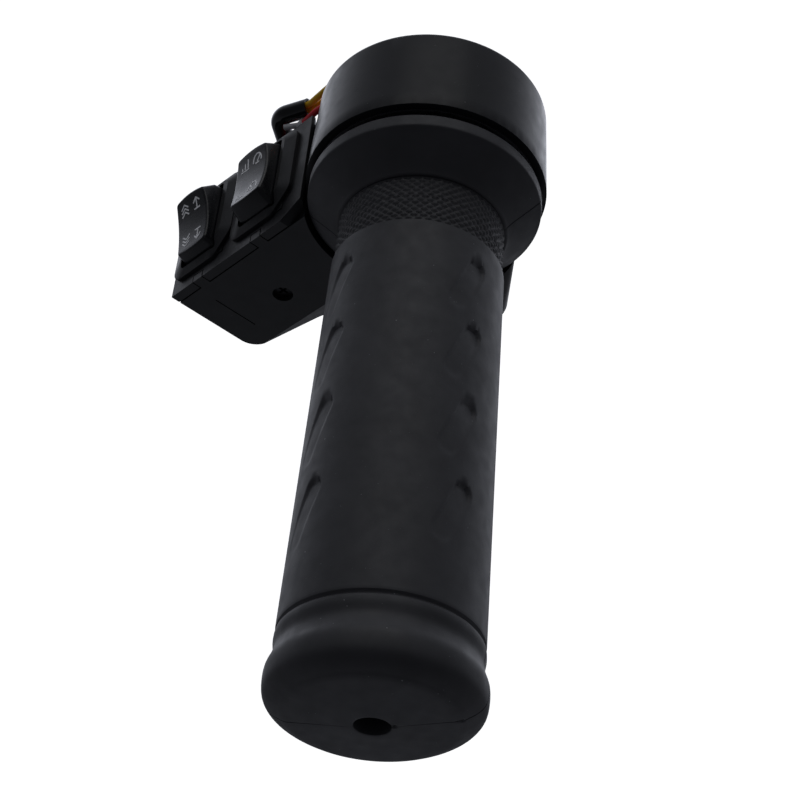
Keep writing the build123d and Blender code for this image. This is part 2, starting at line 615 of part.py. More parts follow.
for number, e1 in enumerate(SWITCH_E1):
    name = number + 1
    rest = REST_TILT[number]

    # bezel: a sloped frame on the cover, with a skirt that drops through it
    with BuildPart() as bezel:
        with BuildSketch(over_pod(COVER_TOP)) as foot:
            with BuildLine():
                Polyline(*bezel_corners(BEZEL_E1[number], 0, 0), close=True)
            make_face()
            fillet(foot.vertices(), 3.0)
        extrude(amount=RIDGE_TOP - COVER_TOP)
        with BuildSketch(over_pod(RIDGE_TOP)) as ridge:
            with BuildLine():
                Polyline(*bezel_corners(BEZEL_E1[number], 0, 0), close=True)
            make_face()
            fillet(ridge.vertices(), 3.0)
        with BuildSketch(over_pod(RIM_TOP)) as rim:
            with BuildLine():
                corners = bezel_corners(BEZEL_E1[number], BEZEL_SLOPE, BEZEL_BACK_SLOPE)
                Polyline(*corners, close=True)
            make_face()
            fillet(rim.vertices(), 2.0)
        loft()
        with BuildSketch(over_pod(COVER_TOP + 0.2)):
            with Locations((e1, SWITCH_Y)):
                Rectangle(*SKIRT)
        extrude(amount=SKIRT_END - COVER_TOP - 0.2)
        with BuildSketch(over_pod(RIM_TOP + 1)):
            with Locations((e1, SWITCH_Y)):
                RectangleRounded(*OPENING, 0.8)
        extrude(amount=SKIRT_END - RIM_TOP - 2, mode=Mode.SUBTRACT)
        with BuildSketch(beside_switch(number)):
            Circle(PIN_R + 0.02)
        extrude(amount=SKIRT[0] / 2 + 0.2, both=True, mode=Mode.SUBTRACT)
    pieces[f"bezel_{name}"] = bezel

    with BuildPart() as pivot_pin:
        with BuildSketch(beside_switch(number)):
            Circle(PIN_R)
        extrude(amount=SKIRT[0] / 2 - 0.1, both=True)
    pieces[f"pivot_pin_{name}"] = pivot_pin

    # case below the bezel, with slots in its floor for the terminals
    with BuildPart() as case:
        with BuildSketch(over_pod(CASE_TOP)):
            with Locations((e1, SWITCH_Y)):
                Rectangle(*SKIRT)
        extrude(amount=-1.0)
        with BuildSketch(over_pod(CASE_TOP - 0.5)):
            with Locations((e1, SWITCH_Y)):
                Rectangle(2 * CASE_HALF[0], 2 * CASE_HALF[1])
        extrude(amount=CASE_FLOOR - CASE_TOP + 0.5)
        with BuildSketch(over_pod(CASE_TOP + 0.1)):
            with Locations((e1, SWITCH_Y)):
                Rectangle(2 * CASE_ROOM[0], 2 * CASE_ROOM[1])
        extrude(amount=CASE_FLOOR - CASE_TOP + 1.4, mode=Mode.SUBTRACT)
        with BuildSketch(over_pod(CASE_FLOOR + 2)):
            with Locations(*[(e1, SWITCH_Y + side * 7.2) for side in (-1, 0, 1)]):
                Rectangle(4.9, 0.9)
        extrude(amount=-4, mode=Mode.SUBTRACT)
    pieces[f"switch_case_{name}"] = case

    # rocker: dished top, bowed sides and ends, a stem that holds the plunger and its spring
    base_l, base_w, _, _, base_h = ROCKER_BASE
    dish_l, dish_end_h, dish_h = ROCKER_DISH
    foot_l, foot_h = ROCKER_FOOT
    reach = sqrt(base_l**2 + base_h**2)
    stem_plane = beside_switch(number, rest)
    with BuildPart() as rocker:
        for outline in (ROCKER_BASE, ROCKER_TOP):
            with BuildSketch(above_pivot(stem_plane, outline[-1])) as level:
                with BuildLine():
                    bowed_outline(*outline[:-1])
                make_face()
                fillet(level.vertices(), ROCKER_CORNER_R)
        loft()
        with BuildSketch(above_pivot(stem_plane, base_h)) as level:
            with BuildLine():
                bowed_outline(*ROCKER_BASE[:-1])
            make_face()
            fillet(level.vertices(), ROCKER_CORNER_R)
        extrude(amount=foot_h - base_h)
        with BuildSketch(stem_plane):
            with BuildLine():
                ThreePointArc((-dish_l, dish_end_h), (0, dish_h), (dish_l, dish_end_h))
                Line((dish_l, dish_end_h), (reach, 0))
                Line((reach, 0), (foot_l, foot_h))
                Line((foot_l, foot_h), (-foot_l, foot_h))
                Line((-foot_l, foot_h), (-reach, 0))
                Line((-reach, 0), (-dish_l, dish_end_h))
            make_face()
        extrude(amount=base_w + 1, both=True, mode=Mode.INTERSECT)
        dish = rocker.faces().sort_by(Axis(origin=(0, 0, 0), direction=stem_plane.y_dir))[-1]
        fillet(dish.edges(), ROCKER_EDGE_R)
        with BuildSketch(beside_switch(number, rest)):
            with Locations((-5.2, -1.0), (5.2, -1.0)):
                Rectangle(4.2, 5.0)
        extrude(amount=base_w - 1.3, both=True, mode=Mode.SUBTRACT)
        stem_top = Plane(
            origin=stem_plane.origin + stem_plane.y_dir * (foot_h + 0.5),
            x_dir=E1,
            z_dir=-stem_plane.y_dir,
        )
        with BuildSketch(stem_top):
            Circle(STEM_R)
        extrude(amount=foot_h + 0.5 - STEM_END)
        with BuildSketch(stem_top):
            Circle(STEM_BORE_R)
        extrude(amount=foot_h + 0.5 - STEM_END + 1, mode=Mode.SUBTRACT)
        with BuildSketch(beside_switch(number, rest)):
            Circle(PIN_R + PIN_FIT)
        extrude(amount=base_w + 1, both=True, mode=Mode.SUBTRACT)
    pieces[f"rocker_{name}"] = rocker

    with BuildPart() as plunger:
        with BuildSketch(stem_plane):
            with BuildLine():
                Polyline((0, -5.3), (PLUNGER_R, -5.3), (PLUNGER_R, PLUNGER_TIP + PLUNGER_R))
                ThreePointArc(
                    (PLUNGER_R, PLUNGER_TIP + PLUNGER_R),
                    (PLUNGER_R * sin(radians(45)), PLUNGER_TIP + PLUNGER_R * (1 - cos(radians(45)))),
                    (0, PLUNGER_TIP),
                )
                Line((0, PLUNGER_TIP), (0, -5.3))
            make_face()
        revolve(axis=Axis(origin=stem_plane.origin, direction=stem_plane.y_dir))
    pieces[f"plunger_{name}"] = plunger

    with BuildPart() as plunger_spring:
        with BuildLine() as small_coil:
            Helix(
                0.62, 2.1, 1.15, direction=stem_plane.y_dir,
                center=stem_plane.origin - stem_plane.y_dir * 5.05,
            )
        with BuildSketch(Plane(origin=small_coil.line @ 0, z_dir=small_coil.line % 0)):
            Circle(0.18)
        sweep(is_frenet=True)
    pieces[f"plunger_spring_{name}"] = plunger_spring

    # see-saw blade on the middle terminal's edge
    blade_tilt = -BLADE_RATIO * rest
    fulcrum = at(e1, PIVOT - 9.75, SWITCH_Y)
    a = radians(blade_tilt)
    blade_plane = Plane(
        origin=fulcrum, x_dir=INBOARD * cos(a) + E2 * sin(a), z_dir=E1,
    )
    with BuildPart() as blade:
        with BuildSketch(blade_plane):
            with BuildLine():
                Polyline(
                    (0, 0), (6.2, 1.0), (6.2, 1.45), (0, 0.45), (-6.2, 1.45), (-6.2, 1.0),
                    close=True,
                )
            make_face()
        extrude(amount=BLADE_WIDTH / 2, both=True)
    pieces[f"contact_blade_{name}"] = blade

    # three terminals: the middle one carries the blade, the outer two have contact pads
    with BuildPart() as terminals:
        with BuildSketch(Plane(origin=at(e1, 0, SWITCH_Y), x_dir=INBOARD, z_dir=E1)):
            knife = PIVOT - 9.95
            pad = PIVOT - 9.85
            with BuildLine():
                Polyline(
                    (-0.4, TERMINAL_END), (-0.4, knife - 0.8), (0, knife), (0.4, knife - 0.8),
                    (0.4, TERMINAL_END), close=True,
                )
            make_face()
            for side in (-1, 1):
                with BuildLine():
                    Polyline(
                        (side * 7.6, TERMINAL_END), (side * 7.6, pad), (side * 4.9, pad),
                        (side * 4.9, pad - 0.4), (side * 6.8, pad - 0.4),
                        (side * 6.8, TERMINAL_END), close=True,
                    )
                make_face()
        extrude(amount=2.3, both=True)
    pieces[f"terminals_{name}"] = terminals

# ---------------------------------------------------------------- screws
with BuildPart() as cover_screw:
    with BuildSketch(across_pod(POD_FRONT_Y + 2.9)):
        with Locations(COVER_SCREW):
            Circle(COVER_SCREW_HEAD_R - 0.15)
    extrude(amount=1.7)
    with BuildSketch(across_pod(-18.4)):
        with Locations(COVER_SCREW):
            Circle(1.45)
    extrude(amount=-18.4 - POD_FRONT_Y - 2.9)
    with BuildSketch(across_pod(POD_FRONT_Y + 2.1)):
        with Locations(COVER_SCREW):
            Rectangle(2.6, 0.55)
            Rectangle(0.55, 2.6)
    extrude(amount=2, mode=Mode.SUBTRACT)
pieces["cover_screw"] = cover_screw

with BuildPart() as pod_screws:
    with BuildSketch(Plane.XY.offset(CAP_SCREW_Z)):
        with Locations((-POD_SCREW_X, SCREW_STATION), (POD_SCREW_X, SCREW_STATION)):
            Circle(POD_SCREW_HEAD_R)
    extrude(amount=-3.2)
    with BuildSketch(Plane.XY.offset(CAP_SCREW_Z)):
        with Locations((-POD_SCREW_X, SCREW_STATION), (POD_SCREW_X, SCREW_STATION)):
            Circle(POD_SCREW_R)
    extrude(amount=-CAP_SCREW_Z - 15.2)
    with BuildSketch(Plane.XY.offset(CAP_SCREW_Z - 1.4)):
        with Locations((-POD_SCREW_X, SCREW_STATION), (POD_SCREW_X, SCREW_STATION)):
            RegularPolygon(1.7, 6)
    extrude(amount=-2, mode=Mode.SUBTRACT)
pieces["pod_screws"] = pod_screws

with BuildPart() as clamp_screw:
    with BuildSketch(Plane.XY.offset(-CLAMP_R - 0.15)):
        with Locations((0, SCREW_STATION)):
            Circle(CLAMP_SCREW_R)
    extrude(amount=-11)
    with BuildSketch(Plane.XY.offset(-CLAMP_R - 8.2)):
        with Locations((0, SCREW_STATION)):
            RegularPolygon(1.7, 6)
    extrude(amount=-4, mode=Mode.SUBTRACT)
pieces["clamp_screw"] = clamp_screw

# ---------------------------------------------------------------- wires and grommets
JACKET_R = 2.1
WIRE_R = 0.75
WIRE_STEP = 1.95                # spacing of the three wires where they enter the drum
GROMMET_FACE_Y = 1.5            # inboard face of the drum's grommet
YELLOW_SIDES = (1, -1)          # side of the jacket's axis each yellow wire leaves on

jacket_route = [(-31.0, -2.6, -24.0), (-31.0, 6.2, -24.0), (-34.4, 6.3, -10.6), (-27.5, 5.9, -6.4)]
jacket_end = Vector(*jacket_route[-1])
jacket_dir = (jacket_end - Vector(*jacket_route[-2])).normalized()
wire_side = jacket_dir.cross(INBOARD).normalized()
wire_ends = [
    (DRUM_GROMMET[0] + k * WIRE_STEP * 0.57, GROMMET_FACE_Y, DRUM_GROMMET[1] - k * WIRE_STEP * 0.82)
    for k in (-1, 0, 1)
]


def out_of_jacket(side):
    """First two points of a yellow wire: inside the open end of the jacket, then out of it."""
    axis = jacket_end + wire_side * 0.8 * side
    return [tuple(axis - jacket_dir * 1.2), tuple(axis + jacket_dir * 0.6)]


yellow_1_route = [
    *out_of_jacket(YELLOW_SIDES[0]), (-24.4, 6.8, -2.0),
    (wire_ends[0][0], 8.6, wire_ends[0][2]), wire_ends[0],
]
yellow_2_route = [
    *out_of_jacket(YELLOW_SIDES[1]), (-23.7, 6.9, -4.1),
    (wire_ends[1][0], 8.6, wire_ends[1][2]), wire_ends[1],
]
red_route = [
    (-32.2, -2.2, -17.3), (-32.2, 2.6, -17.3), (-30.0, 2.6, -10.9), (-26.0, 2.8, -4.65),
    (wire_ends[2][0], 7.4, wire_ends[2][2]), wire_ends[2],
]


def bend_radii(route, share):
    """Each corner's radius: its arc takes up to this share of the shorter run beside it."""
    points = [Vector(*p) for p in route]
    radii = []
    for a, b, c in zip(points, points[1:], points[2:]):
        turn = radians((b - a).get_angle(c - b))
        radii.append(share * min((b - a).length, (c - b).length) / tan(turn / 2))
    return radii


def run_wire(name, route, radius, share=0.45):
    """One wire: a tube along straight runs joined by tangent arcs."""
    radii = bend_radii(route, share)
    with BuildPart() as wire:
        with BuildLine() as path:
            FilletPolyline(*route, radius=radii)
        with BuildSketch(Plane(origin=path.line @ 0, z_dir=path.line % 0)):
            Circle(radius)
        sweep()
    section = pi * radius**2
    whole = wire.part.volume / (section * path.wire().length)
    print(name, "bends", [round(r, 1) for r in radii], "volume share", round(whole, 4))
    pieces[name] = wire


run_wire("cable_jacket", jacket_route, JACKET_R, share=0.3)
run_wire("yellow_wire_1", yellow_1_route, WIRE_R)
run_wire("yellow_wire_2", yellow_2_route, WIRE_R)
run_wire("red_wire", red_route, WIRE_R, share=0.25)

# the jacket's open end, which the yellow wires come out of
with BuildPart() as cable_jacket:
    add(pieces["cable_jacket"].part)
    with BuildSketch(Plane(origin=jacket_end + jacket_dir, z_dir=-jacket_dir)):
        Circle(JACKET_R - 0.45)
    extrude(amount=2.5, mode=Mode.SUBTRACT)
pieces["cable_jacket"] = cable_jacket

# grey closed-end splice that stands off the red wire
SPLICE_R = (1.15, 0.65)         # of the collar round the wire and of the closed tail
splice_dir = (Vector(*red_route[3]) - Vector(*red_route[2])).normalized()
splice_at = Vector(*red_route[2]) + splice_dir * 2.7
tail_dir = (Vector(-32.7, 3.0, -10.4) - splice_at).normalized()
with BuildPart() as splice_sleeve:
    with BuildSketch(Plane(origin=splice_at - splice_dir * 0.8, z_dir=splice_dir)):
        Circle(SPLICE_R[0])
    extrude(amount=1.6)
    with BuildSketch(Plane(origin=splice_at, z_dir=tail_dir)):
        Circle(SPLICE_R[1])
    extrude(amount=4.4)
    with BuildSketch(Plane(origin=splice_at - splice_dir * 3, z_dir=splice_dir)):
        Circle(WIRE_R + 0.02)
    extrude(amount=6, mode=Mode.SUBTRACT)
pieces["splice_sleeve"] = splice_sleeve


def grommet(name, plane, spot, neck_r, lip_r, bore_r):
    """Rubber grommet in a wall: lips on both sides of it, a neck through it."""
    with BuildPart() as ring:
        with BuildSketch(plane):
            with Locations(spot):
                Circle(lip_r)
        extrude(amount=-1.2)
        with BuildSketch(plane):
            with Locations(spot):
                Circle(neck_r - 0.05)
        extrude(amount=POD_WALL + 0.2)
        with BuildSketch(plane.offset(-2)):
            with Locations(spot):
                Circle(bore_r)
        extrude(amount=POD_WALL + 4, mode=Mode.SUBTRACT)
    pieces[name] = ring


pod_back = across_pod(POD_BACK_Y)
grommet("jacket_grommet", pod_back, JACKET_EXIT, GROMMET_R, GROMMET_R + 1.0, JACKET_R + 0.05)
grommet("red_wire_grommet", pod_back, RED_EXIT, RED_GROMMET_R, RED_GROMMET_R + 0.7, WIRE_R + 0.05)

with BuildPart() as drum_grommet:
    with BuildSketch(across_bar(GROMMET_FACE_Y)):
        with Locations(DRUM_GROMMET):
            Circle(DRUM_GROMMET_R + 1.0)
    extrude(amount=GROMMET_FACE_Y)
    with BuildSketch(across_bar(0)):
        with Locations(DRUM_GROMMET):
            Circle(DRUM_GROMMET_R - 0.05)
    extrude(amount=DRUM_BACK + 0.5)
pieces["drum_grommet"] = drum_grommet

# gland for the lead that leaves the pod, pressed into the back wall
with BuildPart() as lead_gland:
    with BuildSketch(across_pod(POD_BACK_Y + 5.5)):
        with Locations(LEAD_EXIT):
            Circle(GLAND_R)
    extrude(amount=3.5)
    with BuildSketch(across_pod(POD_BACK_Y + 2.0)):
        with Locations(LEAD_EXIT):
            RegularPolygon(5.6, 6)
    extrude(amount=2.0)
    with BuildSketch(across_pod(POD_BACK_Y)):
        with Locations(LEAD_EXIT):
            Circle(GLAND_R - 0.05)
    extrude(amount=POD_WALL)
    with BuildSketch(across_pod(POD_BACK_Y + 6)):
        with Locations(LEAD_EXIT):
            Circle(2.4)
    extrude(amount=12, mode=Mode.SUBTRACT)
pieces["lead_gland"] = lead_gland

# ---------------------------------------------------------------- files
for label, piece in pieces.items():
    piece.part.label = label
    export_step(piece.part, f"parts/{label}.step")
print(len(pieces), "pieces")
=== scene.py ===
"""Looks of a twist throttle with a switch pod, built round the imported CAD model.

The model's own frame is kept: the handlebar's axis is Y with +Y inboard, +Z is up, +X is forward,
and the origin is in the plane of the drum's inboard face. Sizes and places are in millimetres and
are multiplied by MM where they are used; the floor's, the lights' and the camera's are in metres.
An angle round the bar is measured from +X towards +Z, in degrees.
"""

import json
from math import ceil, cos, floor, hypot, radians, sin, sqrt

import bpy
from mathutils import Matrix, Vector


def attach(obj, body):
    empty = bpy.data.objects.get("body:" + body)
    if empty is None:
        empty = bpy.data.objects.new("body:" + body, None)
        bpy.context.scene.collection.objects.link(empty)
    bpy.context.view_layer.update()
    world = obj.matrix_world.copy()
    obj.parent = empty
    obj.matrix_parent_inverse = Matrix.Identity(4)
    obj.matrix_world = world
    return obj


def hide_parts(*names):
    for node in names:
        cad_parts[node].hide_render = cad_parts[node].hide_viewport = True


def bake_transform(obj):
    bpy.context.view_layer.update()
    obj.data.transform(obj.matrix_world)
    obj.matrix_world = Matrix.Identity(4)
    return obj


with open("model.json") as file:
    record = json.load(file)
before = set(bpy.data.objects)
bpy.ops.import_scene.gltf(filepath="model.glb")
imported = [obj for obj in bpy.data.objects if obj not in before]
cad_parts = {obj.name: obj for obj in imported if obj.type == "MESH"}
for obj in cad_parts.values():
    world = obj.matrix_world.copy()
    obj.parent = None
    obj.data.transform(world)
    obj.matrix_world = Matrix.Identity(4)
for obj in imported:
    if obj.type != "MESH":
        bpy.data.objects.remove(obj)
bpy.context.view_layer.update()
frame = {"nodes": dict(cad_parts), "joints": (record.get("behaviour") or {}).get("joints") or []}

MM = 0.001
nodes = frame["nodes"]
joints = {joint["name"]: joint for joint in frame["joints"]}

RANGE_SOCKETS = ("From Min", "From Max", "To Min", "To Max")
MIX_INPUTS = (0, 6, 7)          # the Mix node's factor and its two colours
MIX_RESULT = 2                  # and its colour output
DUST_COLOR = (0.22, 0.23, 0.24)
DUST_SIZE = 0.55
DUST_SHARE = (0.77, 0.83)       # noise above this shows as a speck
STAIN_SHADE = 0.55              # how dark a stain on metal is, as a share of the metal's colour


# ---------------------------------------------------------------- materials
class Shader:
    """One Principled material and the nodes that feed it, in object coordinates."""

    def __init__(self, name, roughness, **sockets):
        self.material = bpy.data.materials.new(name)
        self.material.use_nodes = True
        self.tree = self.material.node_tree
        self.bsdf = self.tree.nodes["Principled BSDF"]
        self.bsdf.inputs["Roughness"].default_value = roughness
        for socket, value in sockets.items():
            self.bsdf.inputs[socket.replace("_", " ")].default_value = value
        self.place = self.tree.nodes.new("ShaderNodeTexCoord").outputs["Object"]

    def add(self, kind, **values):
        """A node with the values of its inputs."""
        node = self.tree.nodes.new("ShaderNode" + kind)
        for socket, value in values.items():
            node.inputs[socket].default_value = value
        return node

    def noise(self, size, detail=2.0):
        """Soft noise whose blots are about that many millimetres across."""
        node = self.add("TexNoise", Scale=1.0 / (size * MM), Detail=detail)
        self.tree.links.new(self.place, node.inputs["Vector"])
        return node.outputs["Fac"]

    def spread(self, fac, low, high, start=0.3, end=0.7):
        """fac between start and end, mapped to low and high."""
        node = self.add("MapRange")
        self.tree.links.new(fac, node.inputs["Value"])
        for socket, value in zip(RANGE_SOCKETS, (start, end, low, high)):
            node.inputs[socket].default_value = value
        return node.outputs["Result"]

    def mix(self, fac, a, b):
        """Colour a where fac is 0 and b where it is 1."""
        node = self.tree.nodes.new("ShaderNodeMix")
        node.data_type = "RGBA"
        for index, value in zip(MIX_INPUTS, (fac, a, b)):
            socket = node.inputs[index]
            if isinstance(value, bpy.types.NodeSocket):
                self.tree.links.new(value, socket)
            else:
                socket.default_value = (*value, 1.0) if isinstance(value, tuple) else value
        return node.outputs[MIX_RESULT]

    def bump(self, height, depth):
        """Bump that stands depth millimetres high where height is 1."""
        node = self.add("Bump", Strength=1.0, Distance=depth * MM)
        self.tree.links.new(height, node.inputs["Height"])
        return node.outputs["Normal"]

    def feed(self, **links):
        """The finished material, with these outputs linked to the shader."""
        for socket, value in links.items():
            self.tree.links.new(value, self.bsdf.inputs[socket.replace("_", " ")])
        return self.material


def shade(color, factor):
    """The colour made lighter or darker by a factor."""
    return tuple(min(1.0, channel * factor) for channel in color)


def moulded(name, color, roughness, grain=0.25, grain_depth=0.01, blots=9.0, variation=0.18,
            dust=0.0, **sockets):
    """Moulded plastic or rubber: fine grain, cloudy colour and gloss, and a few specks of dust."""
    s = Shader(name, roughness, **sockets)
    cloud = s.noise(blots, detail=4.0)
    dark, light = shade(color, 1.0 - variation), shade(color, 1.0 + variation)
    tint = s.mix(s.spread(cloud, 0.0, 1.0), dark, light)
    if dust:
        start, end = DUST_SHARE
        speck = s.spread(s.noise(DUST_SIZE, detail=1.0), 0.0, dust, start=start, end=end)
        tint = s.mix(speck, tint, DUST_COLOR)
    fine = s.noise(grain, detail=3.0)
    return s.feed(
        Base_Color=tint,
        Roughness=s.spread(s.noise(blots / 3, detail=3.0), roughness - 0.05, roughness + 0.05),
        Normal=s.bump(fine, grain_depth),
    )


def metal(name, color, roughness, grain=0.3, grain_depth=0.004, stain=0.3):
    """Plated or stamped metal with faint stains and a fine uneven surface."""
    s = Shader(name, roughness, Metallic=1.0)
    stains = s.spread(s.noise(2.5, detail=5.0), 0.0, stain)
    tint = s.mix(stains, color, shade(color, STAIN_SHADE))
    rough = s.spread(s.noise(1.2, detail=4.0), roughness - 0.08, roughness + 0.1)
    return s.feed(Base_Color=tint, Roughness=rough, Normal=s.bump(s.noise(grain), grain_depth))


rubber = moulded("grip_rubber", (0.029, 0.0295, 0.034), 0.56,
                 grain=0.22, grain_depth=0.012, dust=0.7)
drum_plastic = moulded("drum_plastic", (0.0105, 0.011, 0.013), 0.33,
                       grain=0.3, grain_depth=0.004, dust=0.3, Specular_IOR_Level=0.20)
pod_plastic = moulded("pod_plastic", (0.0075, 0.008, 0.0095), 0.42,
                      grain=0.28, grain_depth=0.008, dust=0.4, Specular_IOR_Level=0.3)
rocker_plastic = moulded("rocker_plastic", (0.010, 0.0105, 0.013), 0.27,
                         grain=0.4, grain_depth=0.003, dust=0.4, Specular_IOR_Level=0.34)
nylon_grey = moulded("rotor_nylon", (0.05, 0.05, 0.052), 0.45)
nylon_white = moulded("white_nylon", (0.72, 0.71, 0.66), 0.4, variation=0.05)
ferrite = moulded("ferrite", (0.06, 0.06, 0.063), 0.6, grain=0.15, grain_depth=0.02)
epoxy = moulded("chip_epoxy", (0.012, 0.012, 0.012), 0.5)
board_coat = moulded("board_coat", (0.015, 0.12, 0.045), 0.25, variation=0.1)
grommet_rubber = moulded("grommet_rubber", (0.010, 0.010, 0.011), 0.55,
                         grain=0.2, grain_depth=0.01)
jacket_pvc = moulded("jacket_pvc", (0.004, 0.004, 0.005), 0.13,
                     grain=0.9, grain_depth=0.01, dust=0.3)
yellow_pvc = moulded("yellow_pvc", (0.88, 0.52, 0.012), 0.32, grain=0.6, variation=0.08)
red_pvc = moulded("red_pvc", (0.72, 0.018, 0.03), 0.32, grain=0.6, variation=0.08)
sleeve_grey = moulded("sleeve_grey", (0.62, 0.62, 0.64), 0.5, grain=0.4, variation=0.06)
white_print = moulded("white_print", (0.92, 0.94, 0.96), 0.5, blots=1.2, variation=0.15)
black_oxide = metal("black_oxide", (0.03, 0.03, 0.032), 0.38)
zinc = metal("zinc_plate", (0.56, 0.57, 0.60), 0.32)
brass = metal("brass", (0.72, 0.52, 0.22), 0.3)

NODE_MATERIALS = {
    drum_plastic: ["drum_housing"],
    pod_plastic: ["pod_body", "pod_cover", "bezel_1", "bezel_2", "switch_case_1",
                  "switch_case_2", "lead_gland"],
    rocker_plastic: ["rocker_1", "rocker_2"],
    nylon_grey: ["rotor_tube", "rotor_retainer"],
    nylon_white: ["plunger_1", "plunger_2"],
    ferrite: ["sensor_magnet"],
    epoxy: ["hall_sensor"],
    board_coat: ["sensor_board"],
    grommet_rubber: ["drum_grommet", "jacket_grommet", "red_wire_grommet"],
    jacket_pvc: ["cable_jacket"],
    yellow_pvc: ["yellow_wire_1", "yellow_wire_2"],
    red_pvc: ["red_wire"],
    sleeve_grey: ["splice_sleeve"],
    black_oxide: ["cover_screw", "pod_screws"],
    zinc: ["board_screws", "clamp_screw", "snap_ring", "thrust_washer", "return_spring",
           "pivot_pin_1", "pivot_pin_2", "plunger_spring_1", "plunger_spring_2"],
    brass: ["terminals_1", "terminals_2", "contact_blade_1", "contact_blade_2"],
}

# mould radius on the edges of the plastic parts
EDGE_RADIUS = {
    "pod_body": 0.5, "pod_cover": 0.3, "bezel_1": 0.25, "bezel_2": 0.25,
    "rocker_1": 0.35, "rocker_2": 0.35, "drum_housing": 0.2,
}
EDGE_STEPS = 3
EDGE_ANGLE = 28.0               # edges that turn by more than this are rounded
WELD_GAP = 0.002


def dress_cad_nodes():
    """Each CAD node gets its material, and the plastic ones get rounded edges."""
    for material, names in NODE_MATERIALS.items():
        for name in names:
            node = nodes[name]
            node.data.materials.clear()
            node.data.materials.append(material)
    for name, radius in EDGE_RADIUS.items():
        weld = nodes[name].modifiers.new("weld", "WELD")
        weld.merge_threshold = WELD_GAP * MM
        bevel = nodes[name].modifiers.new("edges", "BEVEL")
        bevel.width = radius * MM
        bevel.segments = EDGE_STEPS
        bevel.limit_method = "ANGLE"
        bevel.angle_limit = radians(EDGE_ANGLE)
        bevel.harden_normals = True


SHARP_ANGLE = 38.0              # edges of the added pieces that turn by more are drawn sharp


def new_piece(name, verts, faces, material, body):
    """A mesh object, in the model's own frame, that rides on a body."""
    mesh = bpy.data.meshes.new(name)
    mesh.from_pydata(verts, [], faces)
    mesh.materials.append(material)
    mesh.shade_smooth()
    mesh.set_sharp_from_angle(angle=radians(SHARP_ANGLE))
    piece = bpy.data.objects.new(name, mesh)
    bpy.context.scene.collection.objects.link(piece)
    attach(piece, body)
    return piece


# ---------------------------------------------------------------- rubber grip
COLUMNS = 378                   # round the grip: 7 for each groove of the knurl
ROW_STEPS = (0.6, 1.4)          # between rows near the pads and elsewhere on the body; a step
                                # under PAD_EDGE would draw the pads' inboard ends crisper
KNURL_STARTS = 54
KNURL_PITCH = 1.66              # along the bar
KNURL_DEPTH = 0.42
KNURL_WALL = 0.3                # width of a groove's side, as a share of the grooves' spacing
KNURL_Y = (-33.95, -45.35)
BODY_Y = (-46.0, -129.3)        # the tapered body, from the knurl to the groove before the flare
BODY_R = (17.45, 18.46)
BODY_LAST = -128.4              # rows of the body stop here
SEAM = 13.0                     # the mould's parting plane; the other line is opposite
SEAM_DEPTHS = (0.28, 0.06)      # on the flange and the flare, and on the body between them
SEAM_DEEP_Y = (-33.5, -130.5)   # where that changes
SEAM_WIDTH = 0.1                # half the angle that counts as on the line
SEAM_PINCH = 1.0                # columns this close to the line are moved halfway to it
PAD_ENDS = (-51.3, -67.8, -85.2, -103.3)      # Y of the pads' inboard ends
PAD_OFFSETS = (46.9, 133.1, 226.9, 313.1)     # columns of pads, from the mould's opening direction
PAD_LENGTH = 14.6
PAD_WIDTH = 4.6
PAD_SLANT = 23.0
PAD_DEPTHS = (0.72, 0.10)       # at the inboard and the outboard end
PAD_EDGE = 0.5                  # width of the wall round a pad
PAD_MARGINS = (0.8, 1.5)        # closer rows start and end this far beyond a pad
END_FACE_Y = -143.0             # marks on the end face start beyond this
VENT_R = 15.3                   # small moulding vent on the end face, on the seam
VENT = (0.35, 0.18, 0.3)        # its depth, the radius of its floor and the width of its wall
NICK = (0.45, 0.25, 0.5)        # the same for the nick beside the end hole
NICK_REACH = 0.5                # how far the nick's floor runs from the hole
HOLE_R = 3.24

BORE_R = 13.65
BORE_START = -22.3              # Y of the grip's inboard end
TUBE_END = -141.7


def smooth_step(x):
    """0 below 0, 1 above 1 and a smooth rise between."""
    x = min(1.0, max(0.0, x))
    return x * x * (3 - 2 * x)


def turn_from(angle, other):
    """Angle minus other, between -180 and 180."""
    return (angle - other + 180.0) % 360.0 - 180.0


def dimple(distance, floor_radius, wall):
    """1 on the floor of a round dimple, falling to 0 across its wall."""
    return smooth_step((floor_radius + wall - distance) / wall)


def straight(points, spacing):
    """Rows along straight runs, no further apart than spacing, without the last point."""
    rows = []
    for (y0, r0), (y1, r1) in zip(points, points[1:]):
        steps = max(1, ceil(hypot(y1 - y0, r1 - r0) / spacing))
        rows += [(y0 + (y1 - y0) * k / steps, r0 + (r1 - r0) * k / steps) for k in range(steps)]
    return rows


def rounded(points, steps):
    """Rows along a Catmull-Rom curve through the points, without the last point."""
    rows = []
    for i in range(len(points) - 1):
        before, a, b = points[max(i - 1, 0)], points[i], points[i + 1]
        after = points[min(i + 2, len(points) - 1)]
        for k in range(steps):
            t = k / steps
            rows.append(tuple(
                0.5 * (2 * a[c] + (b[c] - before[c]) * t
                       + (2 * before[c] - 5 * a[c] + 4 * b[c] - after[c]) * t**2
                       + (3 * a[c] - before[c] - 3 * b[c] + after[c]) * t**3)
                for c in (0, 1)
            ))
    return rows


def body_rows():
    """Rows of the tapered body, closer together where the pads are."""
    rows, y = [], BODY_Y[0]
    pad_reach = PAD_LENGTH * cos(radians(PAD_SLANT)) + PAD_MARGINS[1]
    while y > BODY_LAST:
        share = (y - BODY_Y[0]) / (BODY_Y[1] - BODY_Y[0])
        rows.append((y, BODY_R[0] + (BODY_R[1] - BODY_R[0]) * share))
        near_pad = any(end + PAD_MARGINS[0] > y > end - pad_reach for end in PAD_ENDS)
        y -= ROW_STEPS[0] if near_pad else ROW_STEPS[1]
    return rows


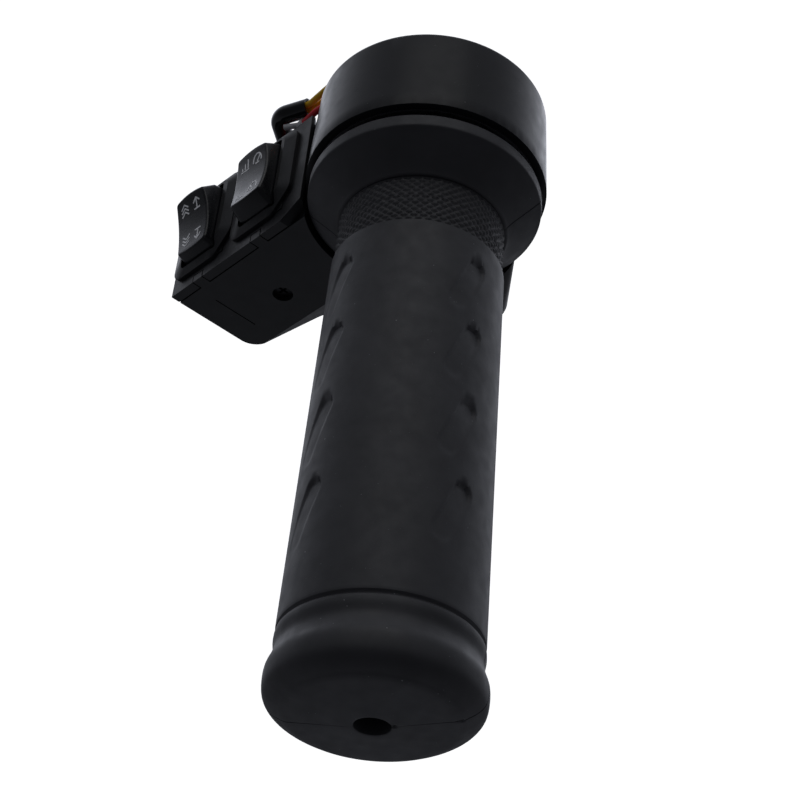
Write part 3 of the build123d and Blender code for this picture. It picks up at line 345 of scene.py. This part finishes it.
def grip_profile():
    """(Y, radius) of the grip's outline, from the bore's inboard end round the outside and back,
    and the range of its rows that take the relief."""
    flange = straight([(BORE_START, BORE_R), (BORE_START, 22.4), (-23.9, 22.4), (-23.9, 24.0)], 4.0)
    rim = rounded([(-23.9, 24.0), (-24.1, 24.25), (-24.6, 24.3), (-26.4, 24.3), (-26.9, 24.2),
                   (-27.2, 23.85)], 2)
    cone = rounded([(-27.2, 23.85), (-28.7, 22.3), (-30.3, 20.6), (-31.6, 19.25), (-32.6, 18.3),
                    (-33.2, 17.8), (-33.5, 17.6), (-33.65, 17.3), (-33.67, 17.0)], 2)
    knurl = straight([(-33.67, 16.9), (KNURL_Y[0], 17.0)], 0.3)
    knurl += straight([(KNURL_Y[0], 17.0), (KNURL_Y[1], 17.04)], 0.27)
    step = rounded([(KNURL_Y[1], 17.04), (-45.42, 17.25), (-45.55, 17.4),
                    (BODY_Y[0], BODY_R[0])], 1)
    groove = rounded([(-128.5, 18.45), (-128.95, 18.4), (-129.25, 18.1), (-129.5, 18.02),
                      (-129.75, 18.15), (-130.0, 18.45), (-130.4, 18.52)], 1)
    flare = rounded([(-130.4, 18.52), (-131.4, 18.54), (-133.3, 18.3), (-135.2, 18.75),
                     (-137.0, 19.4), (-139.0, 19.5), (-140.8, 19.25), (-142.0, 18.5),
                     (-142.9, 17.4), (-143.45, 16.4), (-143.75, 15.9), (-143.95, 15.4)], 3)
    end_face = straight([(-143.95, 15.4), (-144.05, 15.0)], 0.2)
    end_face += straight([(-144.05, 15.0), (-144.95, HOLE_R + 1.3)], 1.1)
    end_face += straight([(-144.95, HOLE_R + 1.3), (-145.0, HOLE_R + 0.25)], 0.3)
    hole_edge = [(-145.0, HOLE_R + 0.25), (-144.93, HOLE_R + 0.05)]
    outside = rim + cone + knurl + step + body_rows() + groove + flare + end_face + hole_edge
    inside = straight([(-144.7, HOLE_R), (-143.5, HOLE_R)], 45.0)
    inside += straight([(-143.5, HOLE_R), (TUBE_END, HOLE_R), (TUBE_END, BORE_R),
                        (BORE_START, BORE_R)], 45.0)
    return flange + outside + inside, range(len(flange), len(flange) + len(outside))


def knurl_relief(y, angle):
    """How far the knurl's grooves sink below its crests: two sets of V grooves, crossing."""
    if not KNURL_Y[0] > y > KNURL_Y[1]:
        return 0.0
    around, along = angle * KNURL_STARTS / 360.0, (y - KNURL_Y[1]) / KNURL_PITCH
    height = 1.0
    for phase in (around + along, around - along):
        height = min(height, abs(phase - floor(phase + 0.5)) / KNURL_WALL)
    return KNURL_DEPTH * (1.0 - height)


def pad_relief(y, angle, r):
    """Depth of the slanted scooped pads: deepest at their inboard ends, fading outboard."""
    half = PAD_WIDTH / 2
    middle_length = PAD_LENGTH - PAD_WIDTH
    slant = radians(PAD_SLANT)
    depth = 0.0
    for end in PAD_ENDS:
        if not end > y > end - PAD_LENGTH:
            continue
        centre_y = end - half - middle_length / 2 * cos(slant)
        for offset in PAD_OFFSETS:
            arc = radians(turn_from(angle, SEAM + 90.0 + offset)) * r
            if abs(arc) > PAD_LENGTH:
                continue
            along = arc * sin(slant) + (centre_y - y) * cos(slant)
            across = arc * cos(slant) - (centre_y - y) * sin(slant)
            beyond = max(abs(along) - middle_length / 2, 0.0)
            wall = smooth_step((half - hypot(beyond, across)) / PAD_EDGE)
            share = min(1.0, max(0.0, (along + PAD_LENGTH / 2) / PAD_LENGTH))
            fade = (1.0 - share)**3
            depth = max(depth, wall * (PAD_DEPTHS[1] + (PAD_DEPTHS[0] - PAD_DEPTHS[1]) * fade))
    return depth


def seam_relief(y, angle, r):
    """The thin line where the mould's halves met, with its vent and the nick by the end hole."""
    to_seam = min(abs(turn_from(angle, SEAM)), abs(turn_from(angle, SEAM + 180.0)))
    depth = 0.0
    if to_seam < SEAM_WIDTH:
        deep = y > SEAM_DEEP_Y[0] or y < SEAM_DEEP_Y[1]
        depth = SEAM_DEPTHS[0] if deep else SEAM_DEPTHS[1]
    if y < END_FACE_Y:
        away = radians(turn_from(angle, SEAM)) * r
        from_hole = max(0.0, r - HOLE_R - NICK_REACH)
        depth = max(depth, VENT[0] * dimple(hypot(away, r - VENT_R), *VENT[1:]))
        depth = max(depth, NICK[0] * dimple(hypot(away, from_hole), *NICK[1:]))
    return depth


def column_angles():
    """Angles of the grip's columns, evenly spaced but for those beside the two seam lines."""
    angles = []
    for column in range(COLUMNS):
        turned = column * 360.0 / COLUMNS
        past_line = turn_from(turned * 2.0, 0.0) / 2.0
        pinch = past_line / 2.0 if abs(past_line) < SEAM_PINCH else 0.0
        angles.append(SEAM + turned - pinch)
    return angles


def build_grip():
    """The rubber grip as one closed surface of revolution, with its relief cut into it."""
    profile, relief_rows = grip_profile()
    angles = column_angles()
    verts = []
    for i, (y, r) in enumerate(profile):
        (y_a, r_a), (y_b, r_b) = profile[i - 1], profile[(i + 1) % len(profile)]
        run = hypot(y_b - y_a, r_b - r_a) or 1.0
        out_y, out_r = (r_b - r_a) / run, -(y_b - y_a) / run
        for angle in angles:
            depth = 0.0
            if i in relief_rows:
                depth = max(knurl_relief(y, angle - SEAM), pad_relief(y, angle, r),
                            seam_relief(y, angle, r))
            y_here, r_here = y - depth * out_y, r - depth * out_r
            turn = radians(angle)
            verts.append(Vector((r_here * cos(turn), y_here, r_here * sin(turn))) * MM)
    faces = []
    for i in range(len(profile)):
        row, next_row = i * COLUMNS, (i + 1) % len(profile) * COLUMNS
        for column in range(COLUMNS):
            side = (column + 1) % COLUMNS
            faces.append((row + column, row + side, next_row + side, next_row + column))
    grip = new_piece("grip_sleeve", verts, faces, rubber, "grip")
    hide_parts("rubber_grip")


def build_spring():
    """The return spring as a copy of the CAD node's mesh, baked into the model's frame, shown in
    place of the node.
    """
    cad = nodes["return_spring"]
    spring = bpy.data.objects.new("return_spring_coil", cad.data.copy())
    spring.matrix_world = cad.matrix_world.copy()
    bpy.context.scene.collection.objects.link(spring)
    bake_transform(spring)
    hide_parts("return_spring")


# ---------------------------------------------------------------- marks on the rockers
DISH_CREST = (9.3, 5.7)         # half length of the dished top, and its ends' height over the pivot
DISH_MIDDLE = 4.2
MARK_REACH = 4.1                # from the rocker's middle to the middle of each pair of marks
MARK_GAP = 4.1                  # between the two marks of a pair
STROKE = 0.36                   # width of a stroke
STROKE_STEP = 0.3               # longest straight run, so that strokes follow the dish
PRINT_HEIGHT = 0.05             # how far strokes stand above the dish, and sink below it


def dish_height(along):
    """Height of the rocker's dished top over its pivot, in mm."""
    half, rise = DISH_CREST[0], DISH_CREST[1] - DISH_MIDDLE
    radius = (half**2 + rise**2) / (2 * rise)
    return DISH_MIDDLE + radius - sqrt(radius**2 - along**2)


def arrow(u, v, way):
    """Arrow along the rocker: a shaft, a head and a bar at its foot."""
    tip, barbs, foot = v + 1.35 * way, v + 0.25 * way, v - 1.35 * way
    return [
        [(u, v - 1.3 * way), (u, tip)],
        [(u - 1.1, barbs), (u, tip), (u + 1.1, barbs)],
        [(u - 1.0, foot), (u + 1.0, foot)],
    ]


def chevrons(u, v, way):
    """Three nested chevrons that point along the rocker."""
    strokes = []
    for k in (-0.9, 0.0, 0.9):
        tip, ends = v + (k + 0.45) * way, v + (k - 0.55) * way
        strokes.append([(u - 1.2, ends), (u, tip), (u + 1.2, ends)])
    return strokes


def dial(u, v, way):
    """Half a dial with its needle."""
    turns = [radians(angle) for angle in range(-10, 191, 20)]
    rim = [(u + 1.35 * cos(turn), v - 0.7 + 1.9 * sin(turn)) for turn in turns]
    needle = [(u, v - 0.9), (u + 0.85 * way, v + 0.5)]
    foot = [(u - 0.6, v - 1.3), (u + 0.6, v - 1.3)]
    return [rim, needle, foot]


def bars(u, v, count):
    """Bars of rising height on a base line."""
    strokes = [[(u - 1.35, v - 1.35), (u + 1.35, v - 1.35)]]
    for k in range(count):
        across = u - 0.95 + 0.95 * k
        strokes.append([(across, v - 1.0), (across, v - 0.2 + 0.75 * k)])
    return strokes


def print_marks(name, number, strokes):
    """Thin raised strokes on a rocker's top. u runs along the pivot, away from the far side of the
    pod, and v inboard along the rocker."""
    joint = joints[f"rocker_{number}_rock"]
    pivot = Vector(joint["pos_m"])
    along_pivot = -Vector(joint["axis"])
    inboard = Vector((0, 1, 0))
    outward = along_pivot.cross(inboard)
    tilt = radians(sum(joint["range_deg"]) / 2)
    along = inboard * cos(tilt) + outward * sin(tilt)
    upward = along_pivot.cross(along)
    verts, faces = [], []
    for stroke in strokes:
        points = [Vector(stroke[0])]
        for a, b in zip(stroke, stroke[1:]):
            steps = ceil((Vector(b) - Vector(a)).length / STROKE_STEP)
            points += [Vector(a).lerp(Vector(b), (k + 1) / steps) for k in range(steps)]
        start = len(verts)
        for i, point in enumerate(points):
            ahead = (points[min(i + 1, len(points) - 1)] - points[max(i - 1, 0)]).normalized()
            side = Vector((-ahead.y, ahead.x)) * STROKE / 2
            for u, v, lift in (
                (*(point - side), -PRINT_HEIGHT), (*(point + side), -PRINT_HEIGHT),
                (*(point + side), PRINT_HEIGHT), (*(point - side), PRINT_HEIGHT),
            ):
                height = dish_height(v) + lift
                verts.append(pivot + (along_pivot * u + along * v + upward * height) * MM)
        for i in range(len(points) - 1):
            here = start + 4 * i
            for k in range(4):
                faces.append((here + k, here + 4 + k, here + 4 + (k + 1) % 4, here + (k + 1) % 4))
        faces.append(tuple(start + k for k in range(4)))
        faces.append(tuple(start + 4 * (len(points) - 1) + k for k in (3, 2, 1, 0)))
    new_piece(name, verts, faces, white_print, f"rocker_{number}")


def build_marks():
    """Arrows with chevrons on the first rocker, and dials with bars on the second."""
    left, right = -MARK_GAP / 2, MARK_GAP / 2
    print_marks("rocker_1_marks", 1,
                arrow(right, MARK_REACH, 1) + chevrons(left, MARK_REACH, 1)
                + arrow(right, -MARK_REACH, -1) + chevrons(left, -MARK_REACH, -1))
    print_marks("rocker_2_marks", 2,
                dial(right, MARK_REACH, 1) + bars(left, MARK_REACH, 3)
                + dial(right, -MARK_REACH, -1) + bars(left, -MARK_REACH, 1))


# ---------------------------------------------------------------- floor, light and camera
FLOOR_Z = -0.42
FLOOR_HALF = 4.0
FLOOR_COLOR = (0.93, 0.93, 0.93, 1.0)
FLOOR_GLOW = (1.0, 1.0, 1.0, 1.0)

LIGHT_AIM = (0, -0.05, 0)
SOFTBOXES = {                   # place, width and height, and power in watts
    "key": ((-0.05, 0.8, 1.0), (1.0, 0.6), 1.75),
    "left_box": ((-0.8, 0.7, 0.9), (0.25, 0.5), 0.12),
    "right_box": ((0.65, 0.7, 0.9), (0.25, 0.5), 0.12),
}

# the room's strength is the first times the second, plus the third: each follows one axis of the
# direction, from its first value to its second, and runs from its third to its fourth
ROOM_BEHIND = ("Y", (0.2, 1.0, 0.0, 1.7))
ROOM_LOW = ("Z", (-0.8, 0.1, 1.2, 0.22))
ROOM_ALL_ROUND = ("Z", (-0.4, 0.4, 0.19, 0.08))
ROOM_COLOR = (0.87, 0.90, 1.0, 1.0)


def build_floor():
    """White sheet far below the object. It glows by itself and casts nothing on the object."""
    mesh = bpy.data.meshes.new("floor")
    corners = [(-FLOOR_HALF, -FLOOR_HALF, FLOOR_Z), (FLOOR_HALF, -FLOOR_HALF, FLOOR_Z),
               (FLOOR_HALF, FLOOR_HALF, FLOOR_Z), (-FLOOR_HALF, FLOOR_HALF, FLOOR_Z)]
    mesh.from_pydata(corners, [], [(0, 1, 2, 3)])
    floor_paint = Shader("floor_paint", 0.9, Emission_Strength=0.9)
    floor_paint.bsdf.inputs["Base Color"].default_value = FLOOR_COLOR
    floor_paint.bsdf.inputs["Emission Color"].default_value = FLOOR_GLOW
    mesh.materials.append(floor_paint.material)
    plane = bpy.data.objects.new("floor", mesh)
    plane.visible_glossy = False
    plane.visible_diffuse = False
    bpy.context.scene.collection.objects.link(plane)


def soft_light(name, place, size, power):
    """Rectangular softbox at place, facing the object."""
    lamp = bpy.data.lights.new(name, "AREA")
    lamp.shape = "RECTANGLE"
    lamp.size, lamp.size_y = size
    lamp.energy = power
    light = bpy.data.objects.new(name, lamp)
    light.location = place
    light.rotation_euler = (Vector(LIGHT_AIM) - Vector(place)).to_track_quat("-Z", "Y").to_euler()
    bpy.context.scene.collection.objects.link(light)


def build_light():
    """Softboxes behind the object, and a room that is dark in front of it and pale behind."""
    for name, (position, size, power) in SOFTBOXES.items():
        soft_light(name, position, size, power)
    world = bpy.data.worlds.new("room")
    bpy.context.scene.world = world
    world.use_nodes = True
    tree = world.node_tree
    direction = tree.nodes.new("ShaderNodeTexCoord")
    split = tree.nodes.new("ShaderNodeSeparateXYZ")
    strength = tree.nodes.new("ShaderNodeMath")
    strength.operation = "MULTIPLY_ADD"
    tree.links.new(direction.outputs["Generated"], split.inputs[0])
    for k, (axis, values) in enumerate((ROOM_BEHIND, ROOM_LOW, ROOM_ALL_ROUND)):
        node = tree.nodes.new("ShaderNodeMapRange")
        node.interpolation_type = "SMOOTHSTEP"
        tree.links.new(split.outputs[axis], node.inputs["Value"])
        for socket, value in zip(RANGE_SOCKETS, values):
            node.inputs[socket].default_value = value
        tree.links.new(node.outputs["Result"], strength.inputs[k])
    tree.links.new(strength.outputs[0], tree.nodes["Background"].inputs["Strength"])
    tree.nodes["Background"].inputs["Color"].default_value = ROOM_COLOR


CAMERA_PLACE = (0.0, -0.2797, 0.2739)
CAMERA_YAW = -0.26              # the camera's angles are in degrees
CAMERA_PITCH = 53.42
CAMERA_ROLL = 5.5
CAMERA_LENS = 80.5              # focal length in millimetres, for a sensor of this width
CAMERA_SENSOR = 36.0
CAMERA_CLIP = 0.01


def build_camera():
    """The camera, outboard of the grip's end and above it, looking down along the grip."""
    yaw, pitch, roll = radians(CAMERA_YAW), radians(CAMERA_PITCH), radians(CAMERA_ROLL)
    ahead = Vector((sin(yaw) * cos(pitch), cos(yaw) * cos(pitch), -sin(pitch)))
    level = Vector((cos(yaw), -sin(yaw), 0.0))
    upright = level.cross(ahead)
    right = level * cos(roll) + upright * sin(roll)
    top = upright * cos(roll) - level * sin(roll)
    lens = bpy.data.cameras.new("camera")
    lens.lens = CAMERA_LENS
    lens.sensor_width = CAMERA_SENSOR
    lens.clip_start = CAMERA_CLIP
    camera = bpy.data.objects.new("camera", lens)
    turn = Matrix((right, top, -ahead)).transposed().to_4x4()
    camera.matrix_world = Matrix.Translation(CAMERA_PLACE) @ turn
    bpy.context.scene.collection.objects.link(camera)
    bpy.context.scene.camera = camera


bpy.context.scene.view_settings.view_transform = "Standard"
dress_cad_nodes()
build_grip()
build_spring()
build_marks()
build_floor()
build_light()
build_camera()
